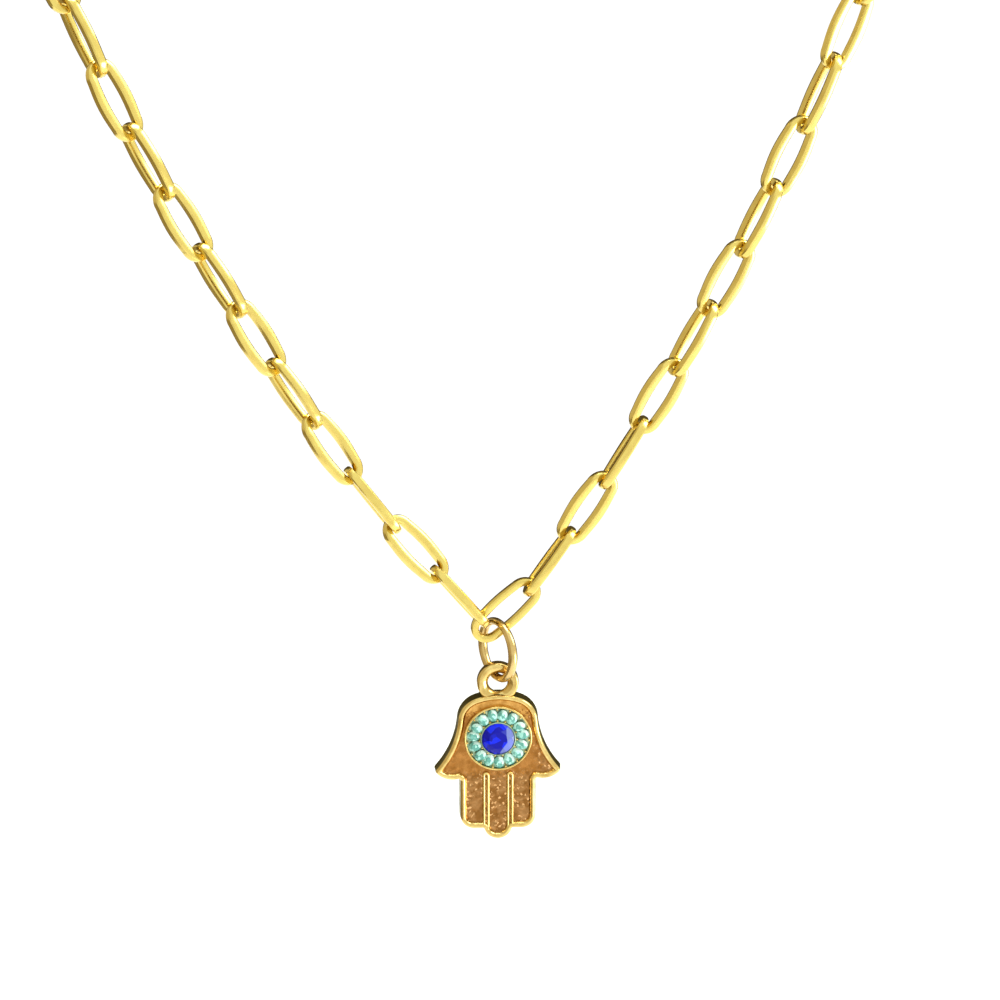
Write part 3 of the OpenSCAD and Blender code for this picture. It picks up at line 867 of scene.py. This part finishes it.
ground_piece = hand_piece("hand_ground", ground_sheet(), palm_gold, crease=60)
ground_piece.data.materials.append(finger_glint_gold)
ground_piece.data.materials.append(crown_lit_gold)
for face in ground_piece.data.polygons:
    on_plate = on_hand.inverted() @ face.center
    ragged = RAGGED * noise.noise(on_plate * RAGGED_WAVES)
    thumb_edge = THUMB_FROM - on_plate.y / THUMB_LEAN
    # The fingers and the right thumb get the speckled casting, its grains with painted glints.
    if on_plate.y + ragged < FINGERS_FROM or on_plate.x + ragged > thumb_edge:
        face.material_index = 1
    # Painted light: the ground above this line gets the crown's lighter tone.
    elif on_plate.y + ragged > CROWN_LIGHT_FROM:
        face.material_index = 2
print("ground sheet", len(ground_piece.data.vertices), "points")

# %% [markdown]
# ## Finger ridges
#
# Two pairs of fine ridges part the fingers. Each pair is one bead of metal that runs up from
# the notch, turns over at the top and runs down again, with a dark groove left inside.

# %% Ridges
RIDGES_W, GROOVE_W, RIDGE_TOP, RIDGE_LOW = 0.7, 0.12, 3.5, 0.08
RIDGE_ROOT, RIDGE_FLANK, RIDGE_STEPS = 0.2, 0.35, 8
ridge_x = MIDDLE_R - CROOK_ROUND


def ridge_pair(x):
    """A bead up one side, over the top and down the other, centred on x."""
    bead = (RIDGES_W - GROOVE_W) / 2
    swing = (RIDGES_W - bead) / 2
    top, foot = -RIDGE_TOP - RIDGES_W / 2, -SIDE_TIP + CROOK_ROUND / 2
    leg = [foot + (top - foot) * i / RIDGE_STEPS for i in range(RIDGE_STEPS)]
    path = [((-swing, y), (-1, 0)) for y in leg]
    path += [
        ((swing * math.cos(a), top + swing * math.sin(a)), (math.cos(a), math.sin(a)))
        for a in (math.radians(180 - 180 * i / 12) for i in range(13))
    ]
    path += [((swing, y), (1, 0)) for y in reversed(leg)]
    rise = CREST - RIDGE_LOW - GROUND
    section = [(-bead / 2, -RIDGE_ROOT), (-bead / 2, 0.0)]
    section += [
        (-bead / 2 * math.cos(a), rise * RIDGE_FLANK + rise * (1 - RIDGE_FLANK) * math.sin(a))
        for a in (math.radians(d) for d in range(0, 181, 20))
    ]
    section += [(bead / 2, 0.0), (bead / 2, -RIDGE_ROOT)]
    points = [
        (x + px + nx * u, py + ny * u, GROUND + v)
        for (px, py), (nx, ny) in path for u, v in section
    ]
    n, last, faces = len(section), len(points) - len(section), []
    for a in range(0, last, n):
        faces += [(a + i, a + n + i, a + n + (i + 1) % n, a + (i + 1) % n) for i in range(n)]
    faces += [tuple(range(n)), tuple(reversed(range(last, last + n)))]
    return points, faces


ridges = join(ridge_pair(-ridge_x), ridge_pair(ridge_x))
hand_piece("hand_ridges", ridges, rim_gold, crease=40)

# %% Bail
MOUTH_R, BAIL_T, LAND = 1.45, 1.2, 0.3
half_t = BAIL_T / 2
bail_profile = [
    (BORE_R, -LAND / 2), (BORE_R + 0.06, -0.26), (BORE_R + 0.24, -0.44), (MOUTH_R - 0.1, -0.56),
    (MOUTH_R + 0.08, -half_t), (BAIL_R - 0.24, -half_t), (BAIL_R - 0.1, 0.05 - half_t),
    (BAIL_R - 0.03, 0.13 - half_t), (BAIL_R, 0.25 - half_t), (BAIL_R, 0),
]
bail_profile += [(radius, -z) for radius, z in reversed(bail_profile[:-1])]
bail_cut = CROWN_RISE - RIM_W / 2 - BAIL_RISE
bail_points, bail_faces = lathe(bail_profile, 80)
bail_ring = [(x, max(y, bail_cut), z) for x, y, z in bail_points], bail_faces
bail_place = on_hand @ Matrix.Translation((0, BAIL_RISE, 0))
make_piece("hand_bail", moved(bail_ring, bail_place), rim_gold,
           "pendant", ["hamsa_hand"], crease=35)

# %% [markdown]
# ## The eye
#
# A thin bezel holds a halo of small stones round a larger one in a collar. Between the small
# stones stand grains of metal, raised with a tool and rounded over the stones' edges. They
# are what makes the ring sparkle, so each is its own little dome.

# %% Bezel and grains
BEZEL_D, BEZEL_WALL, BEZEL_RISE, BEZEL_STEPS = 6.6, 0.22, 0.1, 120
CENTRE_D, COLLAR_WALL, STONE_GAP, HALO, HALO_TURN = 3.16, 0.1, 0.03, 15, 14
SEAT, BEZEL_TOP, COLLAR_TOP = GROUND + 0.05, CREST + BEZEL_RISE, CREST + BEZEL_RISE + 0.06
collar_in = CENTRE_D / 2 + STONE_GAP
collar_out, bezel_in = collar_in + COLLAR_WALL, BEZEL_D / 2 - BEZEL_WALL
halo_r = (collar_out + bezel_in) / 2
GRAIN_R, GRAIN_NECK, GRAIN_TOP, GRAIN_INSET = 0.11, 0.8, CREST + 0.08, 0.1
bezel_profile = [
    (NEAR_AXIS, GROUND - 0.12), (BEZEL_D / 2, GROUND - 0.12), (BEZEL_D / 2, BEZEL_TOP - 0.12),
    (BEZEL_D / 2 - 0.03, BEZEL_TOP - 0.04), (BEZEL_D / 2 - 0.09, BEZEL_TOP),
    (bezel_in + 0.05, BEZEL_TOP - 0.01), (bezel_in, BEZEL_TOP - 0.06), (bezel_in, SEAT),
    (collar_out, SEAT), (collar_out, COLLAR_TOP - 0.03), (collar_out - 0.03, COLLAR_TOP),
    (collar_in + 0.02, COLLAR_TOP), (collar_in, COLLAR_TOP - 0.03), (collar_in, SEAT),
    (NEAR_AXIS, SEAT),
]
bezel_piece = hand_piece("eye_bezel", lathe(bezel_profile, BEZEL_STEPS), rim_gold, crease=50)
# The bezel's inner wall and all inside it, seat and collar, take the painted shade and aqua
# reflection.
bezel_piece.data.materials.append(seat_shade_gold)
inner_wall = bezel_profile.index((bezel_in, SEAT)) - 1
for face in bezel_piece.data.polygons:
    if face.index // BEZEL_STEPS >= inner_wall:
        face.material_index = 1


def dome(x, y, top, radius):
    """A post with a round head."""
    neck = radius * GRAIN_NECK
    profile = [(neck, SEAT - 0.04), (neck, top - radius)]
    profile += [
        (radius * math.cos(a), top - radius + radius * math.sin(a))
        for a in (math.radians(d) for d in (5, 25, 45, 65, 82))
    ]
    return moved(loft(turned(profile, 16)), Matrix.Translation((x, y, 0)))


def halo_angle(i):
    """The angle of small stone i. They run clockwise from a little left of the top."""
    return math.radians(90 + HALO_TURN - i * 360 / HALO)


grains = []
for i in range(1, HALO + 1):
    a = halo_angle(i + 0.5)
    for radius in (collar_out + GRAIN_INSET, bezel_in - GRAIN_INSET):
        grains.append(dome(radius * math.cos(a), radius * math.sin(a), GRAIN_TOP, GRAIN_R))
hand_piece("eye_grains", join(*grains), rim_gold)

# %% [markdown]
# ## Cut stones
#
# Each stone has a flat table, a ring of small star facets, kite facets, girdle facets and a
# plain underside. The facets stay flat and sharp, because the flash of one facet at a time
# is what makes a stone look cut. The small ones were set by hand, so each leans a little.

# %% Stones
GIRDLE_UP, GIRDLE_T, STAR_DOWN, STAR_OUT, FOOT_WIDTH = 0.45, 0.04, 0.42, 0.58, 0.55


def cut_stone(d, table_d, foot, table):
    """A round cut with eight kites: table, stars, kites, girdle facets and pavilion."""
    girdle = foot + (table - foot) * GIRDLE_UP
    star_z, r = table - (table - girdle) * STAR_DOWN, d / 2
    star_r = (table_d / 2) * (1 - STAR_OUT) + r * STAR_OUT

    def at(radius, steps, z):
        a = math.radians(22.5 * steps)
        return (radius * math.cos(a), radius * math.sin(a), z)

    points = [at(table_d / 2, 2 * k + 1, table) for k in range(8)]
    points += [at(star_r, 2 * k, star_z) for k in range(8)]
    points += [at(r, k, girdle + GIRDLE_T) for k in range(16)]
    points += [at(r, k, girdle) for k in range(16)]
    points += [at(r * FOOT_WIDTH, k, foot) for k in range(16)]
    faces = [tuple(range(8)), tuple(reversed(range(48, 64)))]
    for k in range(8):
        before, after = 8 + k, 8 + (k + 1) % 8
        faces.append((k, (k - 1) % 8, before))
        faces.append((k, before, 16 + 2 * k + 1, after))
        faces.append((before, 16 + 2 * k, 16 + 2 * k + 1))
        faces.append((after, 16 + 2 * k + 1, 16 + (2 * k + 2) % 16))
    for k in range(16):
        for low, high in ((32, 16), (48, 32)):
            faces.append((low + k, low + (k + 1) % 16, high + (k + 1) % 16, high + k))
    return points, faces


FOOT, CENTRE_TABLE, CENTRE_TOP, CENTRE_TURN = SEAT + STONE_GAP, 0.58, CREST + 0.5, 8
HALO_D, HALO_TABLE, HALO_TOP, HALO_LONG, HALO_LEAN = 1.0, 0.56, CREST + 0.22, 1.24, 14
make_piece("centre_cut", moved(
    cut_stone(CENTRE_D, CENTRE_D * CENTRE_TABLE, FOOT, CENTRE_TOP),
    on_hand @ Matrix.Rotation(math.radians(CENTRE_TURN), 4, "Z"),
), centre_glass, "pendant", ["centre_stone"], crease=1)
for i in range(1, HALO + 1):
    place = Matrix.Rotation(halo_angle(i), 4, "Z") @ Matrix.Translation((halo_r, 0, 0))
    lean = [
        math.radians(HALO_LEAN) * noise.noise(Vector((i * 1.7, 0.4, seed))) for seed in (0.5, 7.5)
    ]
    place = place @ Matrix.Rotation(lean[0], 4, "X") @ Matrix.Rotation(lean[1], 4, "Y")
    place = place @ Matrix.Diagonal((HALO_LONG, 1, 1, 1))
    make_piece(f"halo_cut_{i:02d}", moved(
        cut_stone(HALO_D, HALO_D * HALO_TABLE, FOOT, HALO_TOP), on_hand @ place,
    ), halo_glass, "pendant", [f"halo_stone_{i:02d}"], crease=1)

# %% [markdown]
# ## Floor and light
#
# Polished metal shows what stands round it, so the studio matters as much as the material.
# The floor is a plain pale strip that runs under the necklace and towards the camera. The
# links' broad faces reflect it, so it is well lit. It ends a little behind the necklace.

# %% Floor
FLOOR_Z, FLOOR_LEFT, FLOOR_RIGHT, FLOOR_FRONT, FLOOR_BACK = -0.45, -0.38, 0.55, -2.0, 0.8


def pale_floor():
    """One plain pale face."""
    material, _, shader = new_material("pale floor")
    shader.inputs["Base Color"].default_value = (0.95, 0.95, 0.95, 1)
    shader.inputs["Roughness"].default_value = 0.9
    mesh = bpy.data.meshes.new("floor")
    corners = [
        (FLOOR_LEFT, FLOOR_FRONT), (FLOOR_RIGHT, FLOOR_FRONT),
        (FLOOR_RIGHT, FLOOR_BACK), (FLOOR_LEFT, FLOOR_BACK),
    ]
    mesh.from_pydata([(x, y, FLOOR_Z) for x, y in corners], [], [(0, 1, 2, 3)])
    mesh.materials.append(material)
    floor = bpy.data.objects.new("floor", mesh)
    bpy.context.collection.objects.link(floor)
    return floor


print("floor at", round(pale_floor().data.vertices[0].co.z, 2), "m")

# %% [markdown]
# The rest of the room is painted on the sky by direction: bright in front and on the right,
# warmer on the left, brown low on the left and dim behind. The dim part draws the dark lines
# round the links and on the walls that face up. Where the camera looks past the floor it
# sees plain white.

# %% Room
BRIGHT_ROOM, WARM_ROOM = (1.2, 1.25, 1.1, 1), (0.80, 0.72, 0.50, 1)
BROWN_ROOM, DIM_ROOM = (0.40, 0.33, 0.19, 1), (0.10, 0.08, 0.04, 1)
SEEN_WHITE = (1.1, 1.1, 1.1, 1)


def smooth_step(tree, value, low, high):
    """0 up to low, 1 from high on and a soft change between. High may lie below low."""
    return mapped(tree, value, low, high, interpolation_type="SMOOTHSTEP").outputs["Result"]


def times(tree, first, second):
    """The product of two nodes' outputs."""
    product = add(tree, "ShaderNodeMath", operation="MULTIPLY")
    tree.links.new(first, product.inputs[0])
    tree.links.new(second, product.inputs[1])
    return product.outputs[0]


def build_room():
    """The sky, painted by the direction a ray leaves in."""
    world = bpy.data.worlds.new("room")
    bpy.context.scene.world = world
    world.use_nodes = True
    tree = world.node_tree
    direction = add(tree, "ShaderNodeTexCoord")
    axes = add(tree, "ShaderNodeSeparateXYZ")
    tree.links.new(direction.outputs["Generated"], axes.inputs[0])
    x, y, z = (axes.outputs[label] for label in "XYZ")
    left = smooth_step(tree, x, -0.4, -0.6)
    low_left = times(tree, smooth_step(tree, x, -0.3, -0.5), smooth_step(tree, z, -0.15, -0.35))
    behind = times(tree, smooth_step(tree, y, 0.4, 0.65), smooth_step(tree, x, -0.62, -0.5))
    colour = blend(tree, left, BRIGHT_ROOM, WARM_ROOM)
    colour = blend(tree, low_left, colour, BROWN_ROOM)
    colour = blend(tree, behind, colour, DIM_ROOM)
    seen = add(tree, "ShaderNodeLightPath")
    colour = blend(tree, seen.outputs["Is Camera Ray"], colour, SEEN_WHITE)
    tree.links.new(colour, tree.nodes["Background"].inputs["Color"])
    return world


print("room", build_room().name)

# %% [markdown]
# Three soft panels add the highlights: one overhead, which lights the floor and draws a
# bright line along every upper edge, one high on the right, and a low one far on the right
# that only the slanted facets of the stones catch.

# %% Panels
def panel(name, place, target, side, power):
    """A square area light that faces its target."""
    light = bpy.data.lights.new(name, "AREA")
    light.shape, light.size, light.size_y = "RECTANGLE", side, side
    light.energy = power
    lamp = bpy.data.objects.new(name, light)
    lamp.location = Vector(place)
    lamp.rotation_euler = (Vector(target) - lamp.location).to_track_quat("-Z", "Y").to_euler()
    bpy.context.collection.objects.link(lamp)


pendant_at = row((0, 0, -10))
high_right, low_right = Vector((0.77, -0.05, 0.6)), 0.8 * Vector((0.86, -0.38, -0.36))
panel("top panel", (0.1, 0.2, 1.3), (0.1, 0.2, FLOOR_Z), side=0.9, power=16)
panel("right panel", pendant_at + high_right, pendant_at, side=0.5, power=5)
panel("low right panel", pendant_at + low_right, pendant_at, side=0.5, power=5.5)
bpy.context.scene.view_settings.view_transform = "Standard"
print("lights", len(bpy.data.lights))
